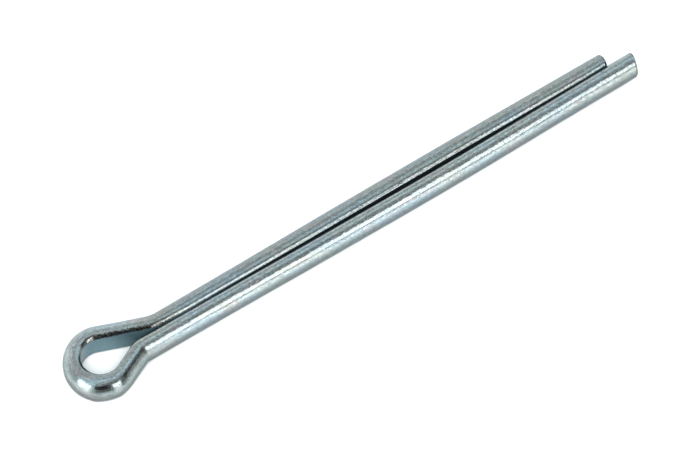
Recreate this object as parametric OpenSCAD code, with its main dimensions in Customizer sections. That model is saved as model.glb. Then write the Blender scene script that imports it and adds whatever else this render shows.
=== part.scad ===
// Split cotter pin: one length of D-section wire folded flat to flat, with an open eye at the fold.
// It lies on its side with the plane of its eye level, as it comes to rest on a flat surface.
// Frame: +X runs along the shank from the neck to the tips, +Z is up and the long leg is on the -Y side.
// The origin is on the shank's axis at the neck, where the short leg starts to bend into the eye.

/* [Shank] */
// Diameter of the closed shank, measured over both legs
shank_d = 5.8; // [4.6:0.1:8]
// Length of the short leg, from the neck to its tip
short_leg = 79; // [30:1:120]
// How far the long leg reaches past the short one
leg_step = 4; // [1:0.5:10]
// Gap between the two flats
leg_gap = 0.2; // [0.1:0.05:0.4]

/* [Wire section] */
// Angle at the shank's axis, from upright, where the round gives way to the shoulder
round_start = 20; // [17:1:22]
// Radius of the shoulder between the round and the bevel
shoulder_r = 0.45; // [0.3:0.05:0.6]
// Tilt of the bevel beside the flat, from level
bevel_tilt = 50; // [40:1:55]
// Radius that joins the bevel to the flat
flat_edge_r = 0.35; // [0.1:0.05:0.5]

/* [Eye] */
// Radius of the flat round the outer end of the eye
eye_r = 2.9; // [2.6:0.1:4.5]
// Distance of the eye's centre from the neck
eye_reach = 10.8; // [10:0.2:16]
// How far the eye's centre sits off the shank's axis, toward the short leg
eye_shift = 0.5; // [-0.5:0.1:0.8]
// Radius that the short leg's flat bends round at the neck
short_neck_r = 7.2; // [4.4:0.2:8]
// Radius that the long leg's flat bends round at the neck
long_neck_r = 4.8; // [4.4:0.2:6]
// Angle that the long leg opens by, on an easy curve, before it bends at the neck
lead_angle = 2; // [1:0.5:2]
// Radius of that easy curve
lead_r = 120; // [60:10:130]

/* [Tips] */
// Lean of the sheared ends, to the side and back from upright
shear_lean = 5; // [0:1:15]
// Chamfer on the round of each sheared end
tip_chamfer = 0.3; // [0.1:0.05:0.8]

/* [Hidden] */

// Facets on a full turn of the preview's round surfaces
$fn = 96;

shank_r = shank_d / 2;
long_leg = short_leg + leg_step;
// Half of the gap: each flat stands this far out from the path that its leg follows
flat_out = leg_gap / 2;

// Points of the section are [out from the flat side's path, height], here for its upper half.
shoulder_centre = (shank_r - shoulder_r) * [sin(round_start), cos(round_start)];
bevel_normal = [-sin(bevel_tilt), cos(bevel_tilt)];
bevel_run = [-cos(bevel_tilt), -sin(bevel_tilt)];
bevel_top = shoulder_centre + shoulder_r * bevel_normal;
bevel_w = (bevel_top[0] - flat_out - flat_edge_r * (1 - sin(bevel_tilt))) / cos(bevel_tilt);
bevel_foot = bevel_top + bevel_w * bevel_run;
flat_edge_centre = bevel_foot - flat_edge_r * bevel_normal;
flat_top = [flat_out, flat_edge_centre[1]];

// How far the small rounds of the section stand proud of the faces that they blend, so that
// their outlines cross cleanly
blend_proud = 0.002;
// Each stretch of wire ends this deep inside the bend beside it, and that bend is this much
// fuller all round, so that the two join cleanly
seam_lap = 0.02;
seam_growth = 0.003;

// The same depth as a turn of the long leg's easy curve, which ends inside its neck bend
lead_lap_angle = 360 * seam_lap / (2 * PI * lead_r);

// Length that any cutting shape needs to clear the wire
clear_of_wire = 3 * shank_r;

// Angle of a flank to the shank, for an eye centre at [reach, offset to this leg's side] from
// the point where the leg starts to bend round neck_r: the flank is tangent to both curves
function flank_angle(reach, side, neck_r) =
    atan2(reach, neck_r - side)
    - acos((neck_r + eye_r) / norm([reach, neck_r - side]));

// Length of the straight stretch of that flank
function flank_length(reach, side, neck_r, angle) =
    reach * cos(angle) - (neck_r - side) * sin(angle);

short_angle = flank_angle(eye_reach, eye_shift, short_neck_r);

// Where the long leg's easy curve ends, in the frame that has that leg on the +Y side, and the
// eye's centre as seen from there, looking along the leg
lead_end = lead_r * [-sin(lead_angle), 1 - cos(lead_angle)];
eye_from_lead = [-eye_reach, -eye_shift] - lead_end;
long_reach = -eye_from_lead * [cos(lead_angle), -sin(lead_angle)];
long_side = eye_from_lead * [sin(lead_angle), cos(lead_angle)];
long_angle = flank_angle(long_reach, long_side, long_neck_r);

// Section of the wire, with its flat at x = flat_out and its round toward +x. It can be grown a
// little on all sides, for a piece that swallows the ends of its neighbours.
module wire_section(growth = 0) {
    half = [
        flat_top - [growth, 0],
        flat_edge_centre,
        bevel_foot + growth * bevel_normal,
        bevel_top + growth * bevel_normal,
        shoulder_centre,
        clear_of_wire * [sin(round_start), cos(round_start)],
        clear_of_wire * [1, 1],
    ];
    lower = [for (i = [len(half) - 1 : -1 : 0]) [half[i][0], -half[i][1]]];
    intersection() {
        circle(shank_r + growth);
        union() {
            polygon(concat(half, lower));
            for (up = [1, -1]) {
                translate([shoulder_centre[0], up * shoulder_centre[1]])
                    circle(shoulder_r + growth + blend_proud);
                translate([flat_edge_centre[0], up * flat_edge_centre[1]])
                    circle(flat_edge_r + growth + blend_proud);
            }
        }
    }
}

// A straight stretch of wire from x = -seam_lap on, with its round toward +Y
module straight_wire(length) {
    translate([-seam_lap, 0, 0])
        rotate([90, 0, 90])
            linear_extrude(length + 2 * seam_lap)
                wire_section();
}

// A bend about the origin through the given angles, whose flat follows flat_r. Its round faces
// out from the centre if round_side is 0, and in toward it if that is 1.
module bent_wire(flat_r, from, to, round_side, growth) {
    rotate_extrude(angle = to - from, start = from)
        translate([flat_r, 0])
            mirror([round_side, 0])
                wire_section(growth);
}

// Cuts a leg off at its tip along a plane that leans to the side and back
module shear_cut(length, side_lean) {
    translate([length, 0, 0])
        rotate([0, shear_lean, side_lean])
            translate([0, -clear_of_wire, -clear_of_wire])
                cube([clear_of_wire, 2 * clear_of_wire, 2 * clear_of_wire]);
}

// Takes the sharp edge off the round at the tip: a ring with a 45 degree bore
module chamfer_cut(length) {
    past = shank_r / 2;
    ring_h = tip_chamfer + 2 * past;
    translate([length - tip_chamfer - past, 0, 0])
        rotate([0, 90, 0])
            difference() {
                cylinder(h = ring_h, r = clear_of_wire);
                cylinder(h = ring_h, r1 = shank_r + past, r2 = shank_r - tip_chamfer - past);
            }
}

// One leg, on the +Y side, from the neck to its sheared tip
module leg(length, side_lean) {
    difference() {
        straight_wire(length + shank_r);
        shear_cut(length, side_lean);
        chamfer_cut(length);
    }
}

// A bend that starts at x = 0 and turns toward +Y, going toward -x
module opening_bend(bend_r, angle, growth) {
    translate([0, bend_r, 0]) bent_wire(bend_r, 270 - angle, 270, 1, growth);
}

// The bend at the neck and the straight flank behind it, up to the eye's outer end
module flank(reach, side, neck_r, angle) {
    opening_bend(neck_r, angle, 2 * seam_growth);
    translate([-reach, side, 0])
        rotate([0, 0, -angle])
            translate([0, eye_r, 0])
                straight_wire(flank_length(reach, side, neck_r, angle));
}

// The short leg with its side of the eye
module short_side() {
    leg(short_leg, -shear_lean);
    flank(eye_reach, eye_shift, short_neck_r, short_angle);
}

// The long leg with its side of the eye, drawn on the +Y side
module long_side_of_pin() {
    leg(long_leg, shear_lean);
    opening_bend(lead_r, lead_angle + lead_lap_angle, seam_growth);
    translate(lead_end)
        rotate([0, 0, -lead_angle])
            flank(long_reach, long_side, long_neck_r, long_angle);
}

// The outer end of the eye, from one flank round to the other
module eye_end() {
    from = 90 - short_angle;
    to = 270 + lead_angle + long_angle;
    translate([-eye_reach, eye_shift, 0]) bent_wire(eye_r, from, to, 0, 2 * seam_growth);
}

// The whole pin, folded from one length of wire
module cotter_pin() {
    color([0.66, 0.70, 0.72])
        union() {
            short_side();
            eye_end();
            mirror([0, 1, 0]) long_side_of_pin();
        }
}

cotter_pin();
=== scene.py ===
"""Zinc-plated split cotter pin, lying on its side on a pale studio table.

The pin is one length of D-section wire, folded flat to flat round an open eye. The wire is swept
along its folded path as a closed quad mesh with rounded, sheared tips, and its plating gets its
colour, gloss and marks from procedural nodes that follow the wire round the fold. Some of that
colour is painted shade and painted highlight: a darker underside, short leg and gap between the
legs, darker flats, and a dark line and light band along each leg.

Sizes inside the classes are in millimetres and meshes are made in metres, in the part's own frame.
"""

from __future__ import annotations

import logging
import math
from dataclasses import dataclass, field
from enum import Enum
from typing import NamedTuple

import bpy
import numpy as np
from mathutils import Matrix, Vector, noise

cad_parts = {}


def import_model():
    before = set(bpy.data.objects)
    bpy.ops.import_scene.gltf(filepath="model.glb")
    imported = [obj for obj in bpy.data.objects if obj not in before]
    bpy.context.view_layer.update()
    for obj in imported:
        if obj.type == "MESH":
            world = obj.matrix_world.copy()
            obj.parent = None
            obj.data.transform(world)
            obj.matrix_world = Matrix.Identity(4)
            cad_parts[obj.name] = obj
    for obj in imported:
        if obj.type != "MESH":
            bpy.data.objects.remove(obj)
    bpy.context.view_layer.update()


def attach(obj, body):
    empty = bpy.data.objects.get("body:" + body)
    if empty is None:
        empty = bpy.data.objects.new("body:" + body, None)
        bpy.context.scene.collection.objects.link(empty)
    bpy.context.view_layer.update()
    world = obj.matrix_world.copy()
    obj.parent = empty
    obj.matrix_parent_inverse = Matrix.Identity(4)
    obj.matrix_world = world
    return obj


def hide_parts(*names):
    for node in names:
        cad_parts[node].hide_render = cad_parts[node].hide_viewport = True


LOG = logging.getLogger("cotter_pin")

MM = 0.001
PLACE_NAME = "wire_place"
SHEARED_NAME = "sheared"

Colour = tuple[float, float, float]
Socket = bpy.types.NodeSocket
Link = Socket | float | tuple[float, ...]


class Leg(Enum):
    """The two legs of the pin; the value is the side of the fold that each lies on."""

    LONG = -1.0
    SHORT = 1.0


def limited(share: float) -> float:
    """Limits a share to 0 to 1."""
    return min(max(share, 0.0), 1.0)


def toward(turn: float, rise: float) -> Vector:
    """Gives the direction from the pin to a lamp or to the camera.

    Args:
        turn: its direction round the pin, in degrees from -Y toward +X.
        rise: its height over the table, in degrees.

    Returns:
        The direction.
    """
    around, up = math.radians(turn), math.radians(rise)
    flat = math.cos(up)
    return Vector((math.sin(around) * flat, -math.cos(around) * flat, math.sin(up)))


def facing(back: Vector, place: Vector) -> Matrix:
    """Returns the transform of a lamp or camera at a place, with the given direction behind it."""
    return Matrix.Translation(place) @ back.to_track_quat("Z", "Y").to_matrix().to_4x4()


# --------------------------------------------------------------------------------------
# The wire's section


@dataclass(frozen=True)
class WireSection:
    """D-shaped section of the wire, as points [out from the flat, up].

    Attributes:
        round_r: radius of the round, which is the closed shank's own radius.
        flat_out: how far the flat stands out from the path that the wire follows.
        round_start: angle from upright where the round gives way to the shoulder, in degrees.
        shoulder_r: radius of the shoulder between the round and the bevel.
        bevel_tilt: tilt of the bevel beside the flat, from level, in degrees.
        flat_edge_r: radius that joins the bevel to the flat.
        arc_points: points laid round the arc.
        shoulder_points: points laid round each shoulder, with the arc's own last one.
        bevel_points: points laid inside each bevel.
        edge_points: points laid round each edge of the flat.
        flat_points: points laid inside the flat.
    """

    round_r: float = 2.9
    flat_out: float = 0.04
    round_start: float = 30.2
    shoulder_r: float = 0.90
    bevel_tilt: float = 46.0
    flat_edge_r: float = 0.13
    arc_points: int = 34
    shoulder_points: int = 10
    bevel_points: int = 4
    edge_points: int = 4
    flat_points: int = 13

    def outline(self) -> np.ndarray:
        """Lays the section's outline, from the lower shoulder round to the flat and back.

        Returns:
            An array of points [out, up], counter-clockwise, without a repeat of the first.
        """
        start = math.radians(self.round_start)
        tilt = math.radians(self.bevel_tilt)
        shoulder = self._shoulder_centre()
        flat_edge = self._flat_edge_centre(shoulder)
        arc = np.linspace(start - math.pi / 2, math.pi / 2 - start, self.arc_points)
        round_part = self.round_r * np.stack([np.cos(arc), np.sin(arc)], 1)
        turn = np.linspace(start, -tilt, self.shoulder_points)[1:]
        shoulder_part = shoulder + self.shoulder_r * np.stack([np.sin(turn), np.cos(turn)], 1)
        turn = np.linspace(-tilt, -math.pi / 2, self.edge_points)
        edge_part = flat_edge + self.flat_edge_r * np.stack([np.sin(turn), np.cos(turn)], 1)
        bevel_part = self._between(shoulder_part[-1], edge_part[0], self.bevel_points)
        upper = np.vstack([shoulder_part, bevel_part, edge_part])
        lower = upper[::-1] * np.array([1.0, -1.0])
        flat_part = self._between(upper[-1], lower[0], self.flat_points)
        return np.vstack([round_part, upper, flat_part, lower])

    def _shoulder_centre(self) -> np.ndarray:
        """Returns the centre of the upper shoulder's radius."""
        start = math.radians(self.round_start)
        return (self.round_r - self.shoulder_r) * np.array([math.sin(start), math.cos(start)])

    def _flat_edge_centre(self, shoulder: np.ndarray) -> np.ndarray:
        """Finds the centre of the radius between the bevel and the flat.

        Args:
            shoulder: centre of the shoulder's radius.

        Returns:
            The centre [out, up] for the upper half.
        """
        tilt = math.radians(self.bevel_tilt)
        normal = np.array([-math.sin(tilt), math.cos(tilt)])
        run = np.array([-math.cos(tilt), -math.sin(tilt)])
        top = shoulder + self.shoulder_r * normal
        rounding = self.flat_edge_r * (1 - math.sin(tilt))
        width = (top[0] - self.flat_out - rounding) / math.cos(tilt)
        return top + width * run - self.flat_edge_r * normal

    @staticmethod
    def _between(first: np.ndarray, last: np.ndarray, count: int) -> np.ndarray:
        """Returns count points evenly laid between two points, without the two."""
        share = np.linspace(0, 1, count + 2)[1:-1, None]
        return first + share * (last - first)


def inset_outline(outline: np.ndarray, depth: float) -> np.ndarray:
    """Moves every point of a closed outline inward along its own normal.

    Args:
        outline: points [out, up], counter-clockwise.
        depth: how far to move them.

    Returns:
        The moved points.
    """
    along = np.roll(outline, -1, 0) - np.roll(outline, 1, 0)
    along /= np.linalg.norm(along, axis=1)[:, None]
    inward = np.stack([-along[:, 1], along[:, 0]], 1)
    return outline + depth * inward


# --------------------------------------------------------------------------------------
# The path that the wire is folded along


@dataclass(frozen=True)
class Stance:
    """A place on the path, with the way that the wire heads there, in radians."""

    x: float
    y: float
    heading: float

    @property
    def leg(self) -> Leg:
        """The leg whose side of the fold this is."""
        return Leg.LONG if math.cos(self.heading) < 0 else Leg.SHORT


@dataclass(frozen=True)
class Bend:
    """A stretch of path that turns by a signed angle round one radius."""

    angle: float
    radius: float

    def walk(self, start: Stance, step: float) -> list[Stance]:
        """Follows the bend.

        Args:
            start: where the bend starts.
            step: greatest distance between stances.

        Returns:
            The stances after the start, the last at the bend's end.
        """
        count = math.ceil(abs(self.angle) * self.radius / step)
        side = math.copysign(1.0, self.angle)
        centre_x = start.x - side * self.radius * math.sin(start.heading)
        centre_y = start.y + side * self.radius * math.cos(start.heading)
        stances = []
        for turn in np.linspace(0, self.angle, count + 1)[1:]:
            heading = start.heading + float(turn)
            x = centre_x + side * self.radius * math.sin(heading)
            y = centre_y - side * self.radius * math.cos(heading)
            stances.append(Stance(x, y, heading))
        return stances


@dataclass(frozen=True)
class Straight:
    """A straight stretch of path."""

    length: float

    def walk(self, start: Stance, step: float) -> list[Stance]:
        """Follows the stretch.

        Args:
            start: where the stretch starts.
            step: greatest distance between stances.

        Returns:
            The stances after the start, the last at the stretch's end.
        """
        count = math.ceil(self.length / step)
        ahead = (math.cos(start.heading), math.sin(start.heading))
        stances = []
        for run in np.linspace(0, self.length, count + 1)[1:]:
            x = start.x + float(run) * ahead[0]
            y = start.y + float(run) * ahead[1]
            stances.append(Stance(x, y, start.heading))
        return stances


@dataclass(frozen=True)
class LegRun:
    """One leg, from its neck to its tip, with the slight bow that the closing left in it.

    Attributes:
        leg: which leg it is.
        neck_x: where the leg starts to bend into the eye.
        tip_x: where its sheared tip is.
        neck_r: radius of the path's bend at the neck.
        bow: how far the leg stands off the shank's axis at its widest.
        tip_off: how far its tip stands off the axis.
        bow_at: where it is widest, as a share of its length from the neck.
    """

    leg: Leg
    neck_x: float
    tip_x: float
    neck_r: float
    bow: float
    tip_off: float
    bow_at: float = 0.58

    def offset(self, share: np.ndarray) -> np.ndarray:
        """Says how far the leg stands off the shank's axis.

        Args:
            share: places along the leg, 0 at the neck and 1 at the tip.

        Returns:
            The distance at each, toward the leg's own side.
        """
        rise = self.bow * np.sin(math.pi / 2 * share / self.bow_at) ** 2
        fall_share = (share - self.bow_at) / (1 - self.bow_at)
        fall = self.tip_off + (self.bow - self.tip_off) * np.cos(math.pi / 2 * fall_share) ** 2
        return np.where(share < self.bow_at, rise, fall)

    def stances(self, step: float) -> list[Stance]:
        """Lays the leg's stances from the neck to the tip, as it heads toward the tip.

        Args:
            step: greatest distance between stances.

        Returns:
            The stances, both ends included.
        """
        length = self.tip_x - self.neck_x
        share = np.linspace(0, 1, math.ceil(length / step) + 1)
        x = self.neck_x + length * share
        y = self.leg.value * self.offset(share)
        heading = np.arctan2(np.gradient(y, x), 1.0)
        heading[0] = 0.0
        return [Stance(*map(float, place)) for place in zip(x, y, heading)]


@dataclass(frozen=True)
class FoldPath:
    """The path that the wire is folded along: the long leg, the eye and the short leg.

    Attributes:
        long_leg: the leg on the -Y side.
        short_leg: the leg on the +Y side.
        eye_x: X of the eye's centre.
        eye_y: Y of the eye's centre.
        eye_r: radius of the path round the eye's outer end.
        leg_step: distance between stances on the legs.
        bend_step: distance between stances round the eye.
    """

    long_leg: LegRun = LegRun(Leg.LONG, -4.265, 82.82, 4.71, 0.35, -0.01)
    short_leg: LegRun = LegRun(Leg.SHORT, 0.0, 78.77, 7.2, 0.20, 0.05)
    eye_x: float = -10.817
    eye_y: float = 0.522
    eye_r: float = 2.897
    leg_step: float = 0.33
    bend_step: float = 0.22

    def run(self, leg: Leg) -> LegRun:
        """Returns the run of one leg."""
        return self.long_leg if leg is Leg.LONG else self.short_leg

    def flank(self, run: LegRun) -> tuple[float, float]:
        """Finds the straight flank that is tangent to a leg's neck bend and to the eye's end.

        Args:
            run: the leg.

        Returns:
            The flank's angle to the shank, in radians, and its length.
        """
        reach = run.neck_x - self.eye_x
        side = run.neck_r - run.leg.value * self.eye_y
        slant = math.atan2(reach, side)
        angle = slant - math.acos((run.neck_r + self.eye_r) / math.hypot(reach, side))
        length = reach * math.cos(angle) - side * math.sin(angle)
        return angle, length

    def stances(self) -> list[Stance]:
        """Lays the whole path, from the long leg's tip to the short leg's tip.

        Returns:
            The path's stances, in order.
        """
        coming = self.long_leg.stances(self.leg_step)[::-1]
        path = [Stance(place.x, place.y, place.heading + math.pi) for place in coming]
        long_angle, long_length = self.flank(self.long_leg)
        short_angle, short_length = self.flank(self.short_leg)
        stretches = [
            Bend(long_angle, self.long_leg.neck_r),
            Straight(long_length),
            Bend(-(math.pi + long_angle + short_angle), self.eye_r),
            Straight(short_length),
            Bend(short_angle, self.short_leg.neck_r),
        ]
        for stretch in stretches:
            path += stretch.walk(path[-1], self.bend_step)
        return path + self.short_leg.stances(self.leg_step)[1:]


# --------------------------------------------------------------------------------------
# What the fold and the closing did to the section


@dataclass(frozen=True)
class EyeSwell:
    """How the wire is thinned and thickened where it is bent hard round the eye.

    Attributes:
        lean: share that the section grows toward lean_at, and thins opposite.
        squeeze: share that it grows toward lean_at and opposite, and thins between.
        lean_at: direction of the outward normal where it is thickest, in degrees.
        starts_x: the section is as drawn up to here.
        full_x: the swell is whole from here on.
        corners: blunt corners of the fold, as [direction, gain, width], in degrees.
    """

    lean: float = 0.015
    squeeze: float = 0.056
    lean_at: float = 236.0
    starts_x: float = -6.265
    full_x: float = -10.265
    corners: tuple[tuple[float, float, float], ...] = (
        (229.0, 0.030, 7.0),
        (249.0, -0.012, 9.0),
        (269.0, 0.024, 7.0),
    )

    def scale(self, x: float, outward: float) -> float:
        """Says how much deeper the section is at one place.

        Args:
            x: place along the shank.
            outward: direction of the section's outward normal, in radians.

        Returns:
            The factor on the section's depth, from its flat to its round.
        """
        weight = limited((self.starts_x - x) / (self.starts_x - self.full_x))
        turn = outward - math.radians(self.lean_at)
        swell = self.lean * math.cos(turn) + self.squeeze * math.cos(2 * turn)
        for corner_at, gain, width in self.corners:
            off = (math.degrees(outward) - corner_at + 180.0) % 360.0 - 180.0
            swell += gain * math.exp(-((off / width) ** 2))
        return 1 + weight * swell


@dataclass(frozen=True)
class Upset:
    """How the fold filled out the wire's inner edge on the long leg's side of the eye.

    Attributes:
        rise: how much taller it made that edge.
        back: how much nearer to the round it put it.
        depth: depth of wire, from the flat, that it reaches.
        onset: how fast it comes in as the wire turns to the long leg's side.
    """

    rise: float = 0.40
    back: float = 0.14
    depth: float = 0.75
    onset: float = 2.0

    def fill(self, outline: np.ndarray, stance: Stance, bent: float) -> np.ndarray:
        """Fills out a section's inner edge.

        Args:
            outline: points of the section.
            stance: the place and heading.
            bent: 1 where the wire is bent round the eye, 0 on the legs.

        Returns:
            The points there.
        """
        share = bent * limited(-self.onset * math.cos(stance.heading))
        near_flat = share * np.clip(1 - outline[:, 0] / self.depth, 0, 1)
        rise = self.rise * near_flat * np.sign(outline[:, 1])
        return outline + np.column_stack([self.back * near_flat, rise])


@dataclass(frozen=True)
class Closing:
    """How the closed legs' flat sides stand off the section's own place.

    Attributes:
        bow_share: share of the short leg's bow that its flat side doesn't follow.
        short_in: how much further in the short leg's flat side stands.
        long_back: how much further back the long leg's flat side stands.
        starts_over: length from the neck over which this comes in.
        ends_x: where it has ended, toward the tips.
        ends_over: length over which it ends.
        depth: depth of wire, from the flat, that it reaches.
    """

    bow_share: float = 0.8
    short_in: float = 0.12
    long_back: float = 0.07
    starts_over: float = 4.0
    ends_x: float = 81.0
    ends_over: float = 6.0
    depth: float = 1.6

    def shift(self, stance: Stance, out: np.ndarray) -> np.ndarray:
        """Says how far in the points of a section stand.

        Args:
            stance: the place and heading.
            out: the points' places out from the flat.

        Returns:
            The distance of each, toward the other leg.
        """
        share = limited(min(stance.x / self.starts_over, (self.ends_x - stance.x) / self.ends_over))
        inward = -self.long_back
        if stance.leg is Leg.SHORT:
            inward = self.bow_share * max(stance.y, 0.0) + self.short_in
        return inward * share * np.clip(1 - out / self.depth, 0, 1)


@dataclass(frozen=True)
class Waves:
    """Waves on the straightened wire.

    Attributes:
        height: their height.
        along: their length along the wire.
        across: their length across it.
        start: place along the wire's pattern that they start from, in wave lengths.
    """

    height: float
    along: float
    across: float
    start: float = 0.0

    def at(self, run: float, out: float, up: float) -> float:
        """Returns the waves' height at one place on the straightened wire."""
        place = Vector((run / self.along + self.start, out / self.across, up / self.across))
        return self.height * noise.noise(place)


@dataclass(frozen=True)
class Relief:
    """The slight waviness of drawn, folded and plated wire, as real height on its surface.

    Attributes:
        drawn: the long waves that the drawing left.
        fine: the short waves.
        eye_gain: how much rougher the wire is where it is bent.
    """

    drawn: Waves = Waves(0.012, 9.0, 2.6)
    fine: Waves = Waves(0.0035, 2.0, 1.1, start=37.0)
    eye_gain: float = 1.6

    def height(self, run: float, out: float, up: float, bent: float) -> float:
        """Returns how far the surface stands proud at one place on the straightened wire."""
        waves = self.drawn.at(run, out, up) + self.fine.at(run, out, up)
        return waves * (1 + (self.eye_gain - 1) * bent)


@dataclass(frozen=True)
class ShearedTip:
    """The sheared end of a leg.

    Attributes:
        lean_side: how far the end leans along the wire for each millimetre toward +Y.
        lean_up: how far it leans for each millimetre of height.
        edge_r: radius that the shear rolled over the end's edge.
        edge_rings: rings laid round that radius.
        face_rings: rings laid on the end face.
        dish: how far the middle of the face stands proud.
        reach: length over which the lean fades in.
        whole_over: length before the tip over which the lean is whole.
    """

    lean_side: float = 0.086
    lean_up: float = 0.10
    edge_r: float = 0.26
    edge_rings: int = 5
    face_rings: int = 7
    dish: float = 0.05
    reach: float = 2.0
    whole_over: float = 1.0

    def lean(self, ring: np.ndarray, before_tip: float) -> None:
        """Leans a ring near the tip, in place, so that the wire ends along its shear."""
        weight = limited((self.reach + self.whole_over - before_tip) / self.reach)
        ring[:, 0] += weight * (self.lean_side * ring[:, 1] + self.lean_up * ring[:, 2])

    def outlines(self, outline: np.ndarray) -> list[tuple[np.ndarray, float, np.ndarray]]:
        """Lays the shrinking outlines that round the end's edge and close its face.

        Args:
            outline: points of the wire's section.

        Returns:
            For each, its points, how far it is past the round's start, and its points' share
            of sheared face.
        """
        laid = []
        for turn in np.linspace(0, math.pi / 2, self.edge_rings + 1)[1:]:
            depth = self.edge_r * (1 - math.cos(turn))
            mark = np.full(len(outline), float(turn) / (math.pi / 2))
            laid.append((inset_outline(outline, depth), self.edge_r * math.sin(turn), mark))
        rim, middle = laid[-1][0], outline.mean(0)
        for share in np.linspace(1, 0, self.face_rings + 2)[1:-1]:
            ahead = self.edge_r + self.dish * (1 - share**2)
            laid.append((middle + (rim - middle) * share, ahead, np.ones(len(outline))))
        return laid


# --------------------------------------------------------------------------------------
# The folded wire


class Ring(NamedTuple):
    """One ring of the wire's mesh.

    Attributes:
        points: its points.
        places: their places [run, out, up] on the straightened wire.
        sheared: their share of sheared face.
    """

    points: np.ndarray
    places: np.ndarray
    sheared: np.ndarray


@dataclass
class FoldedWire:
    """The whole pin as one swept mesh.

    Attributes:
        section: the wire's section.
        path: the path that it is folded along.
        swell: how the section changes round the eye.
        upset: how the fold filled out the eye's inner edge.
        closing: how the closed legs' flat sides stand.
        relief: the surface's waviness.
        tips: the sheared end of each leg.
        bend_x: where the bent wire of the eye starts, as the relief sees it.
        bend_over: length over which it comes in.
        name: the piece's name.
    """

    section: WireSection = field(default_factory=WireSection)
    path: FoldPath = field(default_factory=FoldPath)
    swell: EyeSwell = field(default_factory=EyeSwell)
    upset: Upset = field(default_factory=Upset)
    closing: Closing = field(default_factory=Closing)
    relief: Relief = field(default_factory=Relief)
    tips: dict[Leg, ShearedTip] = field(
        default_factory=lambda: {Leg.LONG: ShearedTip(), Leg.SHORT: ShearedTip(lean_side=0.05)}
    )
    bend_x: float = -2.0
    bend_over: float = 5.0
    name: str = "folded_wire"

    def build(self) -> bpy.types.Object:
        """Builds the mesh, with its place on the straightened wire kept at each point.

        Returns:
            The new object, linked to the scene.
        """
        stances = self.path.stances()
        runs = self._runs(stances)
        outline = self.section.outline()
        plain = np.zeros(len(outline))
        start = self._tip_rings(Leg.LONG, stances[0], runs[0], outline)[::-1]
        body = [self._ring(stance, run, outline, plain) for stance, run in zip(stances, runs)]
        end = self._tip_rings(Leg.SHORT, stances[-1], runs[-1], outline)
        rings = start + body + end
        middles = [rings[0].points.mean(0), rings[-1].points.mean(0)]
        points = np.vstack([*(ring.points for ring in rings), *middles])
        mesh = bpy.data.meshes.new(self.name)
        mesh.from_pydata((points * MM).tolist(), [], self._faces(len(rings), len(outline)))
        self._keep_places(mesh, rings)
        mesh.shade_smooth()
        mesh.update()
        piece = bpy.data.objects.new(self.name, mesh)
        bpy.context.scene.collection.objects.link(piece)
        return piece

    @staticmethod
    def _runs(stances: list[Stance]) -> np.ndarray:
        """Measures the path.

        Args:
            stances: the path's stances.

        Returns:
            The length of path up to each.
        """
        spots = np.array([(place.x, place.y) for place in stances])
        steps = np.linalg.norm(np.diff(spots, axis=0), axis=1)
        return np.concatenate([[0.0], np.cumsum(steps)])

    def _ring(self, stance: Stance, run: float, outline: np.ndarray, sheared: np.ndarray) -> Ring:
        """Lays the section across the path at one stance.

        Args:
            stance: the place and heading.
            run: length of path up to there.
            outline: points of the section.
            sheared: their share of sheared face.

        Returns:
            The ring.
        """
        normal = np.array([-math.sin(stance.heading), math.cos(stance.heading)])
        deeper = self.swell.scale(stance.x, math.atan2(normal[1], normal[0]))
        bent = limited((self.bend_x - stance.x) / self.bend_over)
        heights = np.array([self.relief.height(run, out, up, bent) for out, up in outline])
        inward = inset_outline(outline, 1.0) - outline
        shaped = self.upset.fill(outline, stance, bent) - inward * heights[:, None]
        out = shaped[:, 0] * deeper - self.closing.shift(stance, outline[:, 0])
        ring = np.stack([stance.x + normal[0] * out, stance.y + normal[1] * out, shaped[:, 1]], 1)
        self.tips[stance.leg].lean(ring, self.path.run(stance.leg).tip_x - stance.x)
        places = np.column_stack([np.full(len(outline), run), outline])
        return Ring(ring, places, sheared)

    def _tip_rings(
        self, leg: Leg, stance: Stance, run: float, outline: np.ndarray
    ) -> list[Ring]:
        """Lays the rings of a sheared end, past the last ring of the leg.

        Args:
            leg: which leg ends here.
            stance: the leg's last stance.
            run: length of path up to there.
            outline: points of the section.

        Returns:
            The rings, from the leg to the middle of the end face.
        """
        tip = self.tips[leg]
        rings = []
        for shrunk, ahead, sheared in tip.outlines(outline):
            place = Stance(stance.x + ahead - tip.edge_r, stance.y, stance.heading)
            rings.append(self._ring(place, run, shrunk, sheared))
        return rings

    @staticmethod
    def _faces(ring_count: int, size: int) -> list[tuple[int, ...]]:
        """Joins the rings with quads and closes both ends with a fan.

        Args:
            ring_count: how many rings there are.
            size: points in each ring.

        Returns:
            The faces, with the two middles as the last two points.
        """
        faces: list[tuple[int, ...]] = []
        for ring in range(ring_count - 1):
            base = ring * size
            for spot in range(size):
                after = (spot + 1) % size
                faces.append((base + spot, base + after, base + size + after, base + size + spot))
        first = ring_count * size
        base = (ring_count - 1) * size
        for spot in range(size):
            after = (spot + 1) % size
            faces.append((spot, first, after))
            faces.append((base + after, first + 1, base + spot))
        return faces

    @staticmethod
    def _keep_places(mesh: bpy.types.Mesh, rings: list[Ring]) -> None:
        """Stores each point's place on the straightened wire and its share of sheared face.

        Args:
            mesh: the wire's mesh.
            rings: its rings, in order.
        """
        middles = [rings[0].places.mean(0), rings[-1].places.mean(0)]
        spots = np.vstack([*(ring.places for ring in rings), *middles])
        marks = np.concatenate([*(ring.sheared for ring in rings), [1.0, 1.0]])
        place = mesh.attributes.new(PLACE_NAME, "FLOAT_VECTOR", "POINT")
        place.data.foreach_set("vector", spots.astype(np.float32).ravel())
        mark = mesh.attributes.new(SHEARED_NAME, "FLOAT", "POINT")
        mark.data.foreach_set("value", marks.astype(np.float32))


# --------------------------------------------------------------------------------------
# Node sheets


class Fade(NamedTuple):
    """A smooth change between two ends.

    Attributes:
        low: where the first end is met.
        high: where the second end is met.
        ends: the two ends.
    """

    low: float
    high: float
    ends: tuple[float, float] = (0.0, 1.0)


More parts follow.
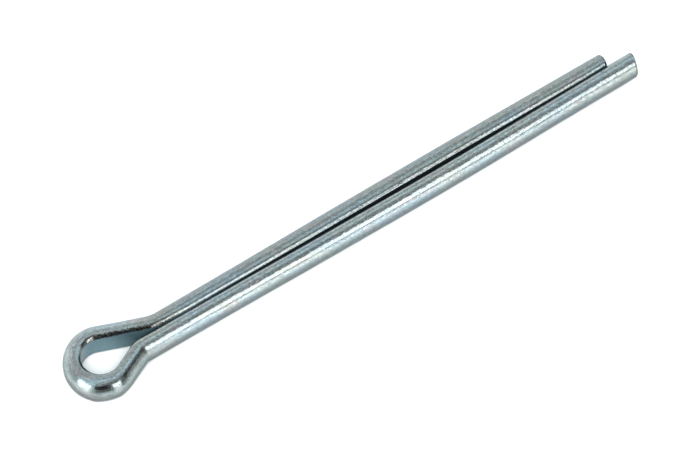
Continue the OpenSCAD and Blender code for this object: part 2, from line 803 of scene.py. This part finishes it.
class Window(NamedTuple):
    """A soft-edged stretch of a value.

    Attributes:
        opens: where its first edge starts.
        whole: where it is whole from.
        wanes: where its second edge starts.
        shut: where it has ended.
    """

    opens: float
    whole: float
    wanes: float
    shut: float


class Mottle(NamedTuple):
    """An uneven pattern on the wire, cut to a range.

    Attributes:
        along: how fine it is along the wire, in waves to a millimetre.
        across: how fine it is across the wire.
        detail: its octaves.
        rough: weight of the finer octaves.
        fade: the change that it is cut to, or None for the plain pattern.
    """

    along: float
    across: float
    detail: float
    rough: float
    fade: Fade | None = None


class Specks(NamedTuple):
    """Scattered specks on the wire.

    Attributes:
        along: how close they lie along the wire, in specks to a millimetre.
        across: how close they lie across the wire.
        fade: their strength from their middles out.
    """

    along: float
    across: float
    fade: Fade


class WirePlace(NamedTuple):
    """Sockets that give a place on the straightened wire."""

    run: Socket
    out: Socket
    up: Socket


@dataclass
class NodeSheet:
    """A node tree, with short calls that lay a node and hand on its outcome."""

    tree: bpy.types.NodeTree

    def lay(self, kind: str, **settings: object) -> bpy.types.Node:
        """Lays a node and sets its properties.

        Args:
            kind: the node's type.
            settings: its properties by name.

        Returns:
            The node.
        """
        node = self.tree.nodes.new(kind)
        for name, value in settings.items():
            setattr(node, name, value)
        return node

    def feed(self, socket: Socket, value: Link) -> None:
        """Gives a socket a constant, or joins it to another node's outcome.

        Args:
            socket: the socket.
            value: the constant or the other node's socket.
        """
        if isinstance(value, Socket):
            self.tree.links.new(value, socket)
        else:
            socket.default_value = value

    def kept(self, name: str, output: str) -> Socket:
        """Reads a value that is kept at the mesh's points."""
        return self.lay("ShaderNodeAttribute", attribute_name=name).outputs[output]

    def wire_place(self) -> WirePlace:
        """Reads the place on the straightened wire.

        Returns:
            The place as its run, out and up.
        """
        parts = self.lay("ShaderNodeSeparateXYZ")
        self.feed(parts.inputs[0], self.kept(PLACE_NAME, "Vector"))
        return WirePlace(*parts.outputs)

    def stretched(self, along: float, across: float) -> Socket:
        """Reads the place on the straightened wire, scaled.

        Args:
            along: the scale along the wire.
            across: the scale across it.

        Returns:
            The scaled place.
        """
        scaled = self.lay("ShaderNodeVectorMath", operation="MULTIPLY")
        self.feed(scaled.inputs[0], self.kept(PLACE_NAME, "Vector"))
        self.feed(scaled.inputs[1], (along, across, across))
        return scaled.outputs[0]

    def mottle(self, pattern: Mottle) -> Socket:
        """Lays an uneven pattern.

        Args:
            pattern: what it is like.

        Returns:
            Its value.
        """
        node = self.lay("ShaderNodeTexNoise", noise_dimensions="3D")
        self.feed(node.inputs["Vector"], self.stretched(pattern.along, pattern.across))
        self.feed(node.inputs["Scale"], 1.0)
        self.feed(node.inputs["Detail"], pattern.detail)
        self.feed(node.inputs["Roughness"], pattern.rough)
        value = node.outputs[0]
        return value if pattern.fade is None else self.fade(value, pattern.fade)

    def specks(self, pattern: Specks) -> Socket:
        """Lays scattered specks.

        Args:
            pattern: what they are like.

        Returns:
            Their strength.
        """
        node = self.lay("ShaderNodeTexVoronoi", feature="F1")
        self.feed(node.inputs["Vector"], self.stretched(pattern.along, pattern.across))
        self.feed(node.inputs["Scale"], 1.0)
        return self.fade(node.outputs["Distance"], pattern.fade)

    def fade(self, value: Socket, fade: Fade) -> Socket:
        """Lays a smooth change between two ends, held beyond them.

        Args:
            value: the value that it follows.
            fade: the change.

        Returns:
            The changed value.
        """
        node = self.lay("ShaderNodeMapRange", interpolation_type="SMOOTHSTEP")
        self.feed(node.inputs["Value"], value)
        self.feed(node.inputs["From Min"], fade.low)
        self.feed(node.inputs["From Max"], fade.high)
        self.feed(node.inputs["To Min"], fade.ends[0])
        self.feed(node.inputs["To Max"], fade.ends[1])
        return node.outputs[0]

    def window(self, value: Socket, window: Window) -> Socket:
        """Lays a share that is 1 inside a window and 0 outside it.

        Args:
            value: the value that is looked at.
            window: the window.

        Returns:
            The share.
        """
        opening = self.fade(value, Fade(window.opens, window.whole))
        closing = self.fade(value, Fade(window.wanes, window.shut, (1.0, 0.0)))
        return self.times(opening, closing)

    def reckon(self, operation: str, *values: Link) -> Socket:
        """Lays one step of arithmetic.

        Args:
            operation: what is done.
            values: the values that it is done to, at most three.

        Returns:
            The outcome.
        """
        node = self.lay("ShaderNodeMath", operation=operation)
        for socket, value in zip(node.inputs, values):
            self.feed(socket, value)
        return node.outputs[0]

    def times(self, first: Link, *others: Link) -> Link:
        """Multiplies values, from the first on.

        Args:
            first: the first value.
            others: the rest.

        Returns:
            The product, which is the first value where there are no others.
        """
        for other in others:
            first = self.reckon("MULTIPLY", first, other)
        return first

    def plus(self, first: Link, second: Link) -> Socket:
        """Adds two values."""
        return self.reckon("ADD", first, second)

    def blend(self, share: Link, first: Link, second: Link) -> Socket:
        """Blends two colours.

        Args:
            share: share of the second.
            first: the first colour.
            second: the second colour.

        Returns:
            The blended colour.
        """
        node = self.lay("ShaderNodeMix", data_type="RGBA")
        colours = [socket for socket in node.inputs if socket.type == "RGBA"]
        self.feed(node.inputs[0], share)
        for socket, colour in zip(colours, (first, second)):
            self.feed(socket, (*colour, 1.0) if isinstance(colour, tuple) else colour)
        return next(socket for socket in node.outputs if socket.type == "RGBA")

    def bump(self, height: Socket, depth: float, under: Socket | None = None) -> Socket:
        """Turns a height into a change of the surface's normal.

        Args:
            height: the height, 0 to 1.
            depth: its full height, in millimetres.
            under: the normal that it starts from, or None for the surface's own.

        Returns:
            The new normal.
        """
        node = self.lay("ShaderNodeBump")
        self.feed(node.inputs["Height"], height)
        self.feed(node.inputs["Strength"], 1.0)
        self.feed(node.inputs["Distance"], depth * MM)
        if under is not None:
            self.feed(node.inputs["Normal"], under)
        return node.outputs[0]


def plain_finish(name: str) -> tuple[bpy.types.Material, NodeSheet, bpy.types.Node]:
    """Makes a material that holds no more than its shader.

    Args:
        name: its name.

    Returns:
        The material, its sheet and its shader.
    """
    material = bpy.data.materials.new(name)
    material.use_nodes = True
    sheet = NodeSheet(material.node_tree)
    sheet.tree.nodes.clear()
    shader = sheet.lay("ShaderNodeBsdfPrincipled")
    sheet.feed(sheet.lay("ShaderNodeOutputMaterial").inputs["Surface"], shader.outputs[0])
    return material, sheet, shader


# --------------------------------------------------------------------------------------
# Finishes


@dataclass(frozen=True)
class PaintedStrips:
    """Painted dark line and painted highlight band along each leg. The line stands in for the dark
    gap between two mirrored strips of light, and the band for the lower strip that the table
    mirrors.

    Attributes:
        shade_line: heights that the painted dark line lies between.
        highlight_band: heights that the painted highlight band lies between.
        darker: how much darker the line is.
        lighter: how much lighter the band is.
        sway: pattern that they sway up and down by.
        sway_by: how far they sway.
        broken: pattern that breaks them up.
        stops_over: length of wire before the eye's bend over which they end.
    """

    # Painted shade line and painted highlight band, set by height on the section.
    shade_line: Window = Window(1.66, 1.72, 1.76, 1.82)
    highlight_band: Window = Window(1.14, 1.28, 1.50, 1.58)
    darker: float = 0.45
    lighter: float = 0.42
    sway: Mottle = Mottle(0.25, 0.0, 2.0, 0.5)
    sway_by: float = 0.08
    broken: Mottle = Mottle(1.8, 0.4, 3.0, 0.6, Fade(0.36, 0.52, (0.25, 1.0)))
    stops_over: float = 6.0

    def shade(self, sheet: NodeSheet, at: WirePlace, eye_start: float) -> Socket:
        """Lays the painted dark line and painted highlight band on the plate.

        Args:
            sheet: the material's sheet.
            at: the place on the wire.
            eye_start: length of wire that the eye's bend starts at.

        Returns:
            The factor on the plate's colour.
        """
        sway = sheet.reckon("MULTIPLY_ADD", sheet.mottle(self.sway), 2 * self.sway_by, -self.sway_by)
        up = sheet.plus(at.up, sway)
        # Painted shade for the dark line, and painted highlight for the band.
        dark = sheet.times(sheet.window(up, self.shade_line), -self.darker)
        light = sheet.times(sheet.window(up, self.highlight_band), self.lighter)
        on_leg = sheet.fade(at.run, Fade(eye_start - self.stops_over, eye_start, (1.0, 0.0)))
        marks = sheet.times(sheet.plus(dark, light), sheet.mottle(self.broken), on_leg)
        return sheet.plus(marks, 1.0)


@dataclass(frozen=True)
class Crease:
    """Dark crazing on the short leg's side of the eye, on the bevel that the fold creased.

    Attributes:
        crumbs: pattern of the crazing.
        bevel_out: its fade from the flat out.
        bevel_up: its fade up the section.
        starts: lengths of wire past the eye bend's start that it comes in between.
        ends_over: length of wire past the eye's bend over which it ends.
    """

    crumbs: Mottle = Mottle(2.6, 3.0, 4.0, 0.7, Fade(0.44, 0.54, (0.0, 0.95)))
    bevel_out: Fade = Fade(0.45, 0.85, (1.0, 0.0))
    bevel_up: Fade = Fade(1.9, 2.0)
    starts: tuple[float, float] = (14.0, 17.0)
    ends_over: float = 4.0

    def share(self, sheet: NodeSheet, at: WirePlace, eye_run: tuple[float, float]) -> Socket:
        """Lays the share of crazing.

        Args:
            sheet: the material's sheet.
            at: the place on the wire.
            eye_run: lengths of wire between which it is bent round the eye.

        Returns:
            The share.
        """
        start, stop = eye_run
        bevel = sheet.times(sheet.fade(at.out, self.bevel_out), sheet.fade(at.up, self.bevel_up))
        stretch = Window(start + self.starts[0], start + self.starts[1], stop, stop + self.ends_over)
        return sheet.times(bevel, sheet.window(at.run, stretch), sheet.mottle(self.crumbs))


@dataclass(frozen=True)
class ZincPlate:
    """Bright zinc with a clear chromate film over drawn steel wire.

    Attributes:
        blue: the film's blue tint.
        green: its green-grey tint.
        warm: its warm, faintly purple tint.
        greener: where the green tint takes over.
        warmer: where the warm tint does.
        grain: how the plate's lightness changes from grain to grain.
        fine: how it changes on a finer scale.
        inner_tint_and_shade: the flats' bluer tint, kept inside the fold, made darker as painted
            shade for the shaded table that the flats mirror.
        gap_shade: painted shade on the flats between the closed legs, where the gap between them is
            dark.
        flat_side: how far out the flats' colour gives way to the plate's.
        flat_metal: how metallic the flats are, against 1 for the plate.
        dull: colour of small stains and pits.
        bare: colour of the sheared faces.
        bare_share: how the bare colour comes in with the share of sheared face.
        bare_gloss: how much rougher the sheared faces are.
        rim: tint of what the plate mirrors at a grazing angle.
        pits: the stains.
        specks: the fine specks.
        speckled: where the fine specks lie.
        streaks: roughness of the plate, streaked along the wire.
        short_leg: painted shade along the wire, which makes the short leg darker.
        under: painted shade on the lower half of the section, lightening toward the top.
        foot: more painted shade, from the wire's underside up.
        eye_run: lengths of wire between which it is bent round the eye.
        gap_shade_over: length of wire over which the painted shade on the flats ends, on each side
            of the eye.
        painted_strips: the painted dark line and painted highlight band along each leg.
        crease: the crazing that the fold left.
        drawn: pattern of the drawing's fine grooves.
        drawn_depth: their depth, in millimetres.
        peel: pattern of the plate's fine grain.
        peel_depth: its depth.
        ticks: pattern of the faint rolling ticks across the wire.
        tick_depth: their depth.
    """

    blue: Colour = (0.280, 0.342, 0.366)
    green: Colour = (0.302, 0.342, 0.326)
    warm: Colour = (0.330, 0.320, 0.324)
    greener: Mottle = Mottle(0.10, 0.42, 3.0, 0.6, Fade(0.36, 0.62))
    warmer: Mottle = Mottle(0.30, 0.9, 4.0, 0.62, Fade(0.50, 0.68, (0.0, 0.85)))
    grain: Mottle = Mottle(1.4, 2.2, 5.0, 0.65, Fade(0.30, 0.72, (0.84, 1.14)))
    fine: Mottle = Mottle(4.2, 5.6, 3.0, 0.6, Fade(0.32, 0.68, (0.78, 1.17)))
    # Painted shade: the flats' tint is darkened for the shaded table that they mirror inside the
    # eye.
    inner_tint_and_shade: Colour = (0.120, 0.205, 0.235)
    # Painted shade: near black for the dark gap between the closed legs.
    gap_shade: Colour = (0.032, 0.044, 0.050)
    flat_side: tuple[float, float] = (0.05, 0.09)
    flat_metal: float = 0.55
    dull: Colour = (0.075, 0.062, 0.060)
    bare: Colour = (0.065, 0.052, 0.045)
    bare_share: Fade = Fade(0.02, 0.40)
    bare_gloss: float = 0.22
    rim: Colour = (0.55, 0.56, 0.57)
    pits: Specks = Specks(0.55, 0.8, Fade(0.035, 0.085, (0.75, 0.0)))
    specks: Specks = Specks(2.1, 3.0, Fade(0.10, 0.26, (0.62, 0.0)))
    speckled: Mottle = Mottle(0.22, 0.7, 3.0, 0.6, Fade(0.46, 0.60, (0.12, 1.0)))
    streaks: Mottle = Mottle(0.12, 1.6, 4.0, 0.6, Fade(0.32, 0.70, (0.11, 0.19)))
    # Painted shade: the short leg is darkened to match its dimmer reflections.
    short_leg: Fade = Fade(108.0, 114.0, (1.0, 0.80))
    # Painted shade: the underside is darkened to tone down the table that it mirrors.
    under: Fade = Fade(0.2, 1.6, (0.60, 1.0))
    foot: Fade = Fade(-1.2, 0.6, (0.85, 1.0))
    eye_run: tuple[float, float] = (86.0, 114.0)
    gap_shade_over: float = 14.0
    # Painted shade line and painted highlight band along the legs.
    painted_strips: PaintedStrips = PaintedStrips()
    crease: Crease = Crease()
    drawn: Mottle = Mottle(0.06, 3.2, 4.0, 0.6)
    drawn_depth: float = 0.013
    peel: Mottle = Mottle(2.4, 3.2, 3.0, 0.55)
    peel_depth: float = 0.022
    ticks: Mottle = Mottle(3.0, 0.6, 2.0, 0.5)
    tick_depth: float = 0.010

    def material(self) -> bpy.types.Material:
        """Makes the material.

        Returns:
            The material.
        """
        material, sheet, shader = plain_finish("zinc_plate_bright")
        at = sheet.wire_place()
        sheared = sheet.kept(SHEARED_NAME, "Fac")
        metal = sheet.fade(at.out, Fade(*self.flat_side, (self.flat_metal, 1.0)))
        rough = sheet.plus(sheet.mottle(self.streaks), sheet.times(sheared, self.bare_gloss))
        sheet.feed(shader.inputs["Metallic"], metal)
        sheet.feed(shader.inputs["Specular Tint"], (*self.rim, 1.0))
        sheet.feed(shader.inputs["Base Color"], self._colour(sheet, at, sheared))
        sheet.feed(shader.inputs["Roughness"], rough)
        sheet.feed(shader.inputs["Normal"], self._relief(sheet))
        return material

    def _colour(self, sheet: NodeSheet, at: WirePlace, sheared: Socket) -> Socket:
        """Lays the plate's colour with its flats, stains, crazing and sheared faces, and its painted
        shade and painted highlight.

        Args:
            sheet: the material's sheet.
            at: the place on the wire.
            sheared: share of sheared face.

        Returns:
            The base colour.
        """
        # The flats take the darker colour that carries painted shade; the rest takes the plate's
        # colour.
        inside = sheet.fade(at.out, Fade(*self.flat_side, (1.0, 0.0)))
        colour = sheet.blend(inside, self._plated(sheet, at), self._flats_with_shade(sheet, at))
        colour = sheet.blend(sheet.specks(self.pits), colour, self.dull)
        specks = sheet.times(sheet.specks(self.specks), sheet.mottle(self.speckled))
        colour = sheet.blend(specks, colour, self.dull)
        colour = sheet.blend(self.crease.share(sheet, at, self.eye_run), colour, self.dull)
        return sheet.blend(sheet.fade(sheared, self.bare_share), colour, self.bare)

    def _plated(self, sheet: NodeSheet, at: WirePlace) -> Socket:
        """Lays the plate's tints, from light to dark by its grain, and by painted shade and painted
        highlight placed by where it is on the wire.

        Args:
            sheet: the material's sheet.
            at: the place on the wire.

        Returns:
            The colour.
        """
        tint = sheet.blend(sheet.mottle(self.greener), self.blue, self.green)
        tint = sheet.blend(sheet.mottle(self.warmer), tint, self.warm)
        shade = sheet.times(sheet.mottle(self.grain), sheet.mottle(self.fine))
        shaded = sheet.lay("ShaderNodeVectorMath", operation="SCALE")
        sheet.feed(shaded.inputs[0], tint)
        sheet.feed(shaded.inputs["Scale"], sheet.times(shade, self._lightness(sheet, at)))
        return shaded.outputs[0]

    def _lightness(self, sheet: NodeSheet, at: WirePlace) -> Socket:
        """Lays the painted shade and painted highlight on the plate by its place on the wire: a
        darker underside and short leg, and the painted line and band along each leg.

        Args:
            sheet: the material's sheet.
            at: the place on the wire.

        Returns:
            The factor on the plate's colour.
        """
        # Painted shade on the underside and on the short leg, and painted line and band along the
        # legs.
        lower = sheet.times(sheet.fade(at.up, self.under), sheet.fade(at.up, self.foot))
        placed = sheet.times(sheet.fade(at.run, self.short_leg), lower)
        return sheet.times(placed, self.painted_strips.shade(sheet, at, self.eye_run[0]))

    def _flats_with_shade(self, sheet: NodeSheet, at: WirePlace) -> Socket:
        """Lays the flats' colour: their bluer tint with painted shade, and darker painted shade
        between the closed legs.

        Args:
            sheet: the material's sheet.
            at: the place on the wire.

        Returns:
            The colour.
        """
        start, stop = self.eye_run
        # Painted shade between the closed legs, lifted where the legs open round the eye.
        opened = Window(start - self.gap_shade_over, start, stop, stop + self.gap_shade_over)
        return sheet.blend(sheet.window(at.run, opened), self.gap_shade, self.inner_tint_and_shade)

    def _relief(self, sheet: NodeSheet) -> Socket:
        """Lays the drawing's grooves, the plate's grain and the ticks across the wire.

        Args:
            sheet: the material's sheet.

        Returns:
            The surface's normal.
        """
        normal = sheet.bump(sheet.mottle(self.drawn), self.drawn_depth)
        normal = sheet.bump(sheet.mottle(self.peel), self.peel_depth, normal)
        return sheet.bump(sheet.mottle(self.ticks), self.tick_depth, normal)


@dataclass(frozen=True)
class TableFinish:
    """Pale, faintly glossy studio table.

    Attributes:
        pale: its colour.
        gloss: its roughness.
    """

    pale: Colour = (0.87, 0.87, 0.87)
    gloss: float = 0.10

    def material(self) -> bpy.types.Material:
        """Makes the material.

        Returns:
            The material.
        """
        material, sheet, shader = plain_finish("pale_table")
        sheet.feed(shader.inputs["Base Color"], (*self.pale, 1.0))
        sheet.feed(shader.inputs["Roughness"], self.gloss)
        return material


# --------------------------------------------------------------------------------------
# The studio


@dataclass(frozen=True)
class StudioTable:
    """Plain table that the pin lies on.

    Attributes:
        top: height of the table's top.
        half: half of its side.
        finish: its finish.
    """

    top: float
    half: float = 4000.0
    finish: TableFinish = field(default_factory=TableFinish)

    def build(self) -> bpy.types.Object:
        """Builds the table's top.

        Returns:
            The table's object.
        """
        corners = [(-1, -1), (1, -1), (1, 1), (-1, 1)]
        points = [(self.half * x * MM, self.half * y * MM, self.top * MM) for x, y in corners]
        mesh = bpy.data.meshes.new("studio_floor")
        mesh.from_pydata(points, [], [(0, 1, 2, 3)])
        mesh.materials.append(self.finish.material())
        table = bpy.data.objects.new("studio_floor", mesh)
        bpy.context.scene.collection.objects.link(table)
        return table


@dataclass(frozen=True)
class SoftBox:
    """A panel lamp that faces the pin.

    Attributes:
        name: its name.
        turn: its direction round the pin, in degrees from -Y toward +X.
        rise: its height over the table, in degrees.
        away: distance from the pin, in metres.
        wide: width of its panel, in metres.
        high: height of its panel, in metres.
        glow: radiance of its panel.
        in_gloss: whether the plating mirrors it.
    """

    name: str
    turn: float
    rise: float
    away: float
    wide: float
    high: float
    glow: float
    in_gloss: bool = True

    def build(self, middle: Vector) -> bpy.types.Object:
        """Hangs the lamp.

        Args:
            middle: the place that it faces, in metres.

        Returns:
            The lamp.
        """
        lamp = bpy.data.lights.new(self.name, "AREA")
        lamp.shape = "RECTANGLE"
        lamp.size = self.wide
        lamp.size_y = self.high
        lamp.energy = self.glow * self.wide * self.high * math.pi
        box = bpy.data.objects.new(self.name, lamp)
        back = toward(self.turn, self.rise)
        box.matrix_world = facing(back, middle + back * self.away)
        box.visible_camera = False
        box.visible_glossy = self.in_gloss
        bpy.context.scene.collection.objects.link(box)
        return box


@dataclass(frozen=True)
class BlackFlag:
    """A black flag beside the front box, with soft edges, seen from the pin.

    Attributes:
        left: how far to the side its left edge is, for each length ahead.
        right: how far its right edge is.
        foot: height of its lower edge, as the direction's own Z.
        head: height of its upper edge.
        left_soft: half of its left edge's softness.
        right_soft: half of its right edge's softness.
        level_soft: half of its lower and upper edge's softness.
        dark: share of light that it takes.
    """

    left: float
    right: float
    foot: float
    head: float
    left_soft: float = 0.08
    right_soft: float = 0.06
    level_soft: float = 0.03
    dark: float = 0.85

    def spared(self, sheet: NodeSheet, side: Socket, height: Socket) -> Socket:
        """Lays the share of light that the flag leaves.

        Args:
            sheet: the world's sheet.
            side: place to the side.
            height: the direction's Z.

        Returns:
            The share.
        """
        left, right, level = self.left_soft, self.right_soft, self.level_soft
        across = Window(self.left - left, self.left + left, self.right - right, self.right + right)
        upright = Window(self.foot - level, self.foot + level, self.head - level, self.head + level)
        covered = sheet.times(sheet.window(side, across), sheet.window(height, upright), -self.dark)
        return sheet.plus(covered, 1.0)


@dataclass(frozen=True)
class StudioSky:
    """The studio's walls and ceiling, as soft light that changes from the front to the back.

    Attributes:
        walls: stops of [place from the front at -1 to the back at 1, radiance].
        blue_at: place where the ceiling's faint blue is strongest.
        blue_over: how far from there it has faded.
        blue: its tint.
        plain: tint of the rest.
        flags: the black flags beside the front box.
        least_ahead: least share ahead that a place to the side is measured by.
    """

    walls: tuple[tuple[float, float], ...] = (
        (-1.0, 0.25),
        (-0.85, 0.28),
        (-0.74, 0.42),
        (-0.63, 0.70),
        (-0.55, 0.88),
        (-0.47, 1.00),
        (-0.38, 1.30),
        (-0.28, 1.55),
        (-0.10, 1.40),
        (0.10, 1.15),
        (0.33, 0.86),
        (0.68, 1.10),
        (0.82, 1.40),
        (0.92, 1.70),
        (0.96, 1.30),
    )
    blue_at: float = -0.15
    blue_over: float = 0.30
    blue: Colour = (0.82, 1.00, 1.07)
    plain: Colour = (0.98, 1.00, 1.00)
    flags: tuple[BlackFlag, ...] = (
        BlackFlag(-1.25, -0.21, 0.29, 0.67),
        BlackFlag(0.72, 1.55, 0.26, 0.64),
    )
    least_ahead: float = 0.02

    def build(self) -> bpy.types.World:
        """Makes the world and hands it to the scene.

        Returns:
            The world.
        """
        world = bpy.data.worlds.new("studio_sky")
        world.use_nodes = True
        sheet = NodeSheet(world.node_tree)
        sheet.tree.nodes.clear()
        light = sheet.lay("ShaderNodeBackground")
        sheet.feed(sheet.lay("ShaderNodeOutputWorld").inputs["Surface"], light.outputs[0])
        parts = sheet.lay("ShaderNodeSeparateXYZ")
        sheet.feed(parts.inputs[0], sheet.lay("ShaderNodeTexCoord").outputs["Generated"])
        side, back, height = parts.outputs
        sheet.feed(light.inputs["Color"], self._walls(sheet, back))
        ahead = sheet.reckon("MAXIMUM", sheet.times(back, -1.0), self.least_ahead)
        slope = sheet.reckon("DIVIDE", side, ahead)
        spared = sheet.times(1.0, *(flag.spared(sheet, slope, height) for flag in self.flags))
        sheet.feed(light.inputs["Strength"], spared)
        bpy.context.scene.world = world
        return world

    def _walls(self, sheet: NodeSheet, back: Socket) -> Socket:
        """Lays the walls' colour from the front to the back.

        Args:
            sheet: the world's sheet.
            back: place from the front at -1 to the back at 1.

        Returns:
            The colour.
        """
        ramp = sheet.lay("ShaderNodeValToRGB")
        sheet.feed(ramp.inputs[0], sheet.reckon("MULTIPLY_ADD", back, 0.5, 0.5))
        stops = ramp.color_ramp.elements
        for place, _ in self.walls[1:-1]:
            stops.new((place + 1) / 2)
        for stop, (place, radiance) in zip(stops, self.walls):
            stop.position = (place + 1) / 2
            share = math.exp(-(((place - self.blue_at) / self.blue_over) ** 2))
            tint = [b * share + p * (1 - share) for b, p in zip(self.blue, self.plain)]
            stop.color = (*[radiance * part for part in tint], 1.0)
        return ramp.outputs[0]


@dataclass(frozen=True)
class ProductCamera:
    """The camera, on a long lens, looking down on the pin from the eye's side.

    Attributes:
        turn: its direction round the pin, in degrees from -Y toward +X.
        rise: its height over the table, in degrees.
        target: the place at the middle of its view.
        away: its distance from there.
        view_wide: width of its view at the target.
        sensor_wide: width of its sensor.
        sees_to: how far it sees, in metres.
    """

    turn: float = -33.785
    rise: float = 60.63
    target: tuple[float, float, float] = (31.63, -1.64, 0.0)
    away: float = 1100.0
    view_wide: float = 103.5013
    sensor_wide: float = 36.0
    sees_to: float = 20.0

    def build(self) -> bpy.types.Object:
        """Sets the camera up as the scene's own.

        Returns:
            The camera.
        """
        lens = bpy.data.cameras.new("product_camera")
        lens.sensor_width = self.sensor_wide
        lens.lens = self.sensor_wide * self.away / self.view_wide
        lens.clip_end = self.sees_to
        camera = bpy.data.objects.new("product_camera", lens)
        back = toward(self.turn, self.rise)
        camera.matrix_world = facing(back, (Vector(self.target) + back * self.away) * MM)
        bpy.context.scene.collection.objects.link(camera)
        bpy.context.scene.camera = camera
        return camera


@dataclass(frozen=True)
class Studio:
    """Everything round the pin: table, lamps, walls and camera."""

    table: StudioTable
    lamps: tuple[SoftBox, ...] = (
        SoftBox("front_box", 9.5, 21.8, 2.4, 1.15, 0.86, 3.7),
        SoftBox("low_strip", 9.5, 4.6, 2.4, 1.15, 0.25, 2.9),
        SoftBox("eye_box", -81.0, 18.0, 2.4, 1.25, 1.30, 3.0),
        SoftBox("table_fill", -33.8, 60.0, 1.6, 0.9, 0.9, 13.0, in_gloss=False),
    )
    sky: StudioSky = field(default_factory=StudioSky)
    camera: ProductCamera = field(default_factory=ProductCamera)

    def build(self) -> None:
        """Builds the studio and reports each piece."""
        self.camera.build()
        LOG.info("camera set up")
        self.table.build()
        LOG.info("table laid at %.3f mm", self.table.top)
        middle = Vector((self.camera.target[0] * MM, 0.0, 0.0))
        for lamp in self.lamps:
            lamp.build(middle)
            LOG.info("lamp %s hung", lamp.name)
        self.sky.build()
        LOG.info("walls lit")
        bpy.context.scene.view_settings.view_transform = "Standard"
        bpy.context.scene.view_settings.look = "None"


# --------------------------------------------------------------------------------------
# The pin


@dataclass(frozen=True)
class CotterPin:
    """The pin: the folded wire in its zinc plate."""

    wire: FoldedWire = field(default_factory=FoldedWire)
    plate: ZincPlate = field(default_factory=ZincPlate)

    def build(self) -> bpy.types.Object:
        """Builds and dresses the wire, and sets it in the frame.

        Returns:
            The wire's object.
        """
        piece = self.wire.build()
        piece.data.materials.append(self.plate.material())
        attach(piece, "root")
        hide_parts("cotter_pin")
        LOG.info("%s built: %d faces", piece.name, len(piece.data.polygons))
        return piece


def main() -> None:
    """Builds the pin and its studio around the frame."""
    logging.basicConfig(level=logging.INFO, format="%(name)s: %(message)s")
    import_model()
    pin = CotterPin().build()
    lowest = min(corner.co.z for corner in pin.data.vertices) / MM
    Studio(StudioTable(lowest)).build()


if __name__ == "__main__":
    main()
